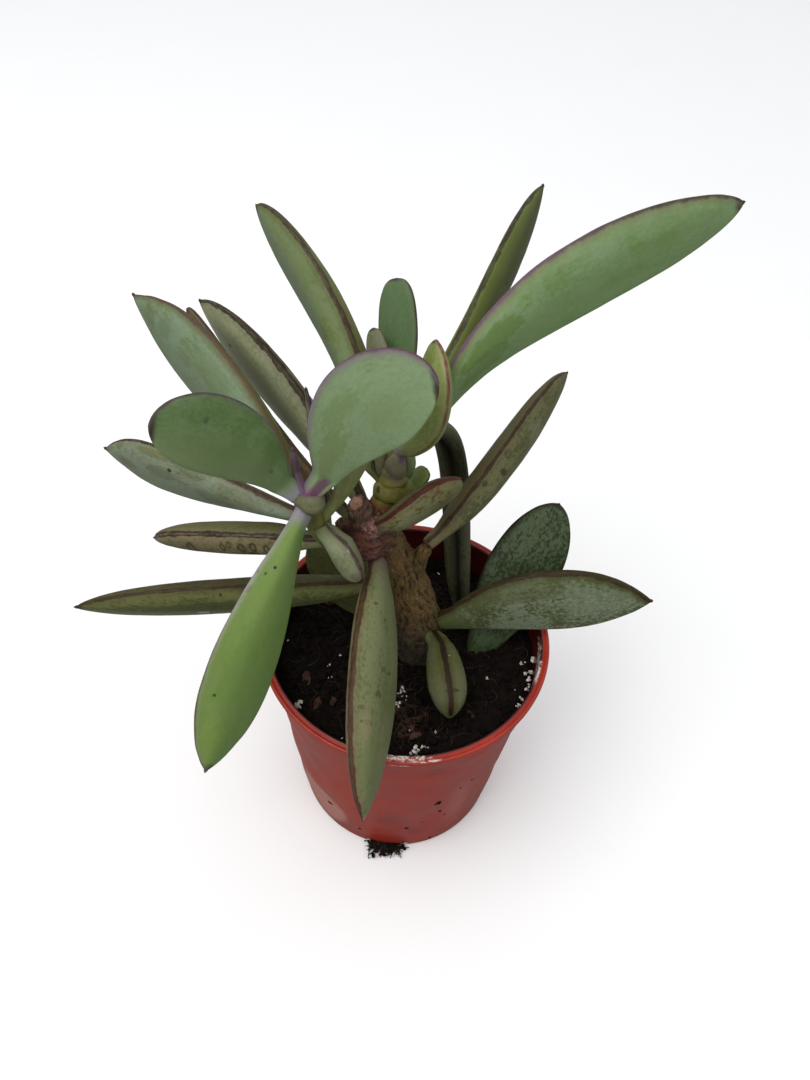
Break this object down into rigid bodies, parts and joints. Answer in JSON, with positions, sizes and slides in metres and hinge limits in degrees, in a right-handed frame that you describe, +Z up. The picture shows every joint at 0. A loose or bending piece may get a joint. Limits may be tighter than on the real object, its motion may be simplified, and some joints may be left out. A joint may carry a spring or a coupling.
{
  "type": "potted succulent plant",
  "caption": "Upright-leaved senecio with thick edge-on paddle leaves on a short barked trunk and two green shoots, in a round tapered plastic nursery pot filled with peat.",
  "frame": {"origin": "middle of the pot's foot, on the surface it stands on", "axes": "+Z up along the pot's axis; -Y towards the reference viewer, the side the low front leaves hang over; +X to that viewer's right"},
  "size_m": [0.16, 0.14, 0.1929],
  "materials": {
    "terracotta_plastic": "satin",
    "potting_soil": "matte",
    "root_fibre": "matte",
    "bark": "matte",
    "green_stem": "satin",
    "young_leaf": "satin",
    "old_leaf": "satin",
    "bright_leaf": "satin"
  },
  "bodies": {
    "root": {"pot": "terracotta_plastic", "soil": "potting_soil", "root_tuft": "root_fibre", "trunk": "bark", "shoot_left": "green_stem", "shoot_back": "green_stem", "leaf_left_round": "young_leaf", "leaf_centre_broad": "young_leaf", "leaf_front_bright": "bright_leaf", "leaf_under_centre": "young_leaf", "leaf_left_lower": "old_leaf", "leaf_small_inner": "young_leaf", "leaf_upper_left": "young_leaf", "leaf_spike": "young_leaf", "leaf_middle_left": "old_leaf", "leaf_bud": "young_leaf", "leaf_behind_left": "old_leaf", "leaf_grey_left": "old_leaf", "leaf_long_left": "old_leaf", "leaf_low_left": "old_leaf", "leaf_front": "old_leaf", "leaf_small_right": "old_leaf", "leaf_low_right": "old_leaf", "leaf_low_front": "old_leaf", "leaf_right": "old_leaf", "leaf_right_broad": "old_leaf", "leaf_back_left": "young_leaf", "leaf_back_upright": "young_leaf", "leaf_back_small": "young_leaf", "leaf_spoon": "young_leaf", "leaf_long_right": "young_leaf", "leaf_back_right": "young_leaf", "leaf_drooping": "old_leaf", "leaf_round_back": "young_leaf"}
  },
  "joints": []
}
